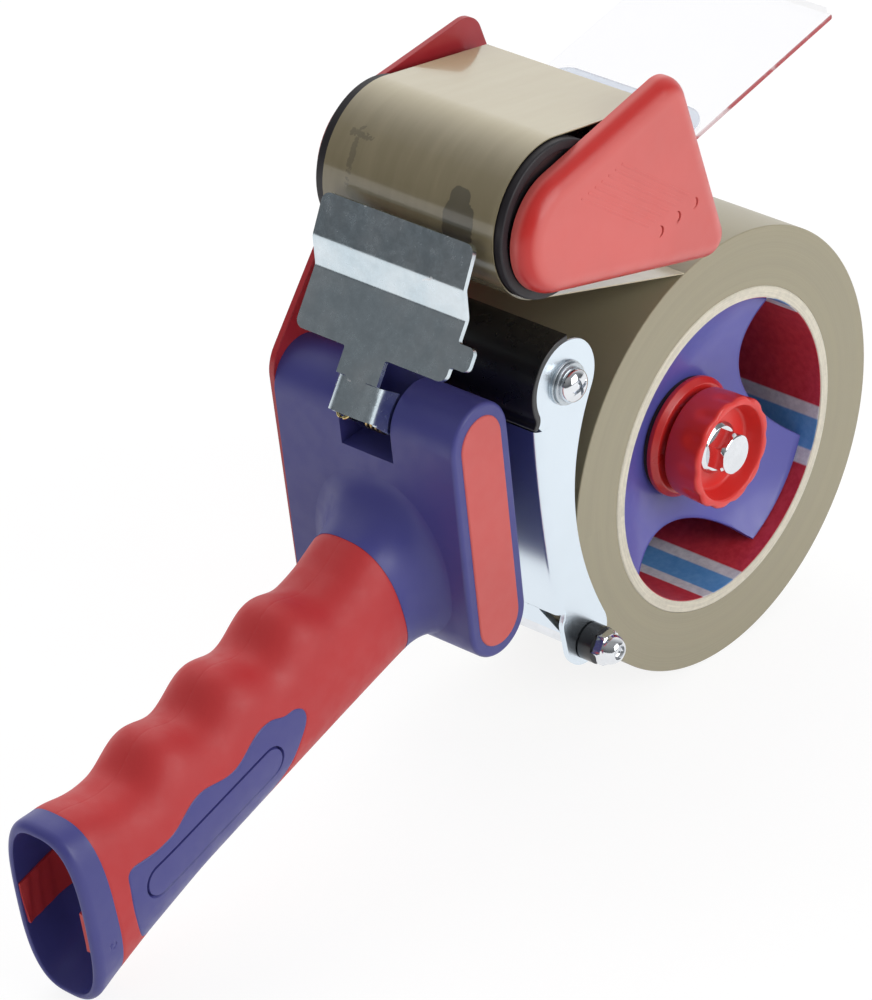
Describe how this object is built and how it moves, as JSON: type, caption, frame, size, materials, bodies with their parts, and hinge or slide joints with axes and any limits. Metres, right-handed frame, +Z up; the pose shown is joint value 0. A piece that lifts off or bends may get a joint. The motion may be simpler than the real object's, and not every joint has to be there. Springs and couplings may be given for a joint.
{
  "type": "packing tape dispenser",
  "caption": "Hand-held packing tape gun: pistol grip, side plate, wrapped front roller, cutter under a clear flap, swing damper, finger lever and a hub brake holding a tape roll.",
  "frame": {"origin": "middle of the bounding box, on the plane it rests on", "axes": "+X from the handle towards the tape roll, +Y across the tape towards the side plate, +Z up"},
  "size_m": [0.2667, 0.0742, 0.1668],
  "materials": {
    "plate_red": "satin powder coat",
    "handle_blue": "satin moulded",
    "grip_red": "soft matt",
    "cover_red": "satin moulded",
    "zinc": "zinc plated",
    "chrome": "bright",
    "blade": "ground",
    "flap_clear": "clear film",
    "stiffener": "pale translucent film",
    "bush_black": "matt",
    "spring": "bright wire",
    "tape": "glossy film",
    "core": "matt cardboard",
    "hub_blue": "satin moulded",
    "friction": "pressed fibre",
    "roller_black": "satin",
    "damper_black": "matt",
    "yoke_zinc": "bright zinc",
    "lever_zinc": "grey zinc",
    "knob_red": "glossy moulded"
  },
  "bodies": {
    "frame": {"side_plate": "plate_red", "handle_core": "handle_blue", "handle_grip": "grip_red", "grip_panels": "handle_blue", "block_inlay": "grip_red", "handle_screws": "zinc", "front_axle": "zinc", "axle_nut": "zinc", "end_cover": "cover_red", "blade_bar": "zinc", "cutter_blade": "blade", "blade_screws": "zinc", "wiper_flap": "flap_clear", "flap_stiffener": "stiffener", "flap_clamp": "zinc", "flap_rivets": "zinc", "cross_rod": "chrome", "rod_nut": "zinc", "rod_bush": "bush_black", "cap_nut": "chrome", "lever_pin": "zinc", "lever_spring": "spring", "axle_tube": "zinc", "hub_nut": "zinc", "tape_strip": "tape"},
    "roll": {"hub": "hub_blue", "friction_disc": "friction", "tape_core": "core", "tape_roll": "tape"},
    "front_roller": {"front_roller": "roller_black", "roller_bushes": "roller_black"},
    "yoke": {"swing_yoke": "yoke_zinc", "damper_cover": "roller_black", "damper_axle": "zinc", "damper_screw": "chrome", "spring_washer": "zinc"},
    "damper": {"damper_roller": "damper_black"},
    "lever": {"brake_lever": "lever_zinc"},
    "knob": {"brake_knob": "knob_red", "hub_bolt": "chrome", "thrust_flange": "knob_red", "brake_spring": "spring"}
  },
  "joints": [
    {"name": "roll_spin", "type": "hinge", "parent": "frame", "child": "roll", "pos_m": [0.0774, 0, 0.056], "axis": [0, 1, 0], "continuous": true},
    {"name": "front_roller_spin", "type": "hinge", "parent": "frame", "child": "front_roller", "pos_m": [0.01363, 0, 0.14481], "axis": [0, 1, 0], "continuous": true},
    {"name": "yoke_swing", "type": "hinge", "parent": "frame", "child": "yoke", "pos_m": [0.02227, 0, 0.03083], "axis": [0, 1, 0], "range_deg": [0, 12]},
    {"name": "damper_spin", "type": "hinge", "parent": "yoke", "child": "damper", "pos_m": [0.01554, 0, 0.10289], "axis": [0, 1, 0], "continuous": true},
    {"name": "lever_press", "type": "hinge", "parent": "frame", "child": "lever", "pos_m": [-0.01587, 0, 0.09803], "axis": [0, 1, 0], "range_deg": [0, 2.5], "stiffness_Nm_per_rad": 0.6, "springref_deg": -11.46},
    {"name": "knob_turn", "type": "hinge", "parent": "frame", "child": "knob", "pos_m": [0.0774, 0, 0.056], "axis": [0, 1, 0], "range_deg": [-180, 180]}
  ],
  "couplings": [
    {"joint": "front_roller_spin", "follows": "roll_spin", "ratio": -2.9947}
  ]
}
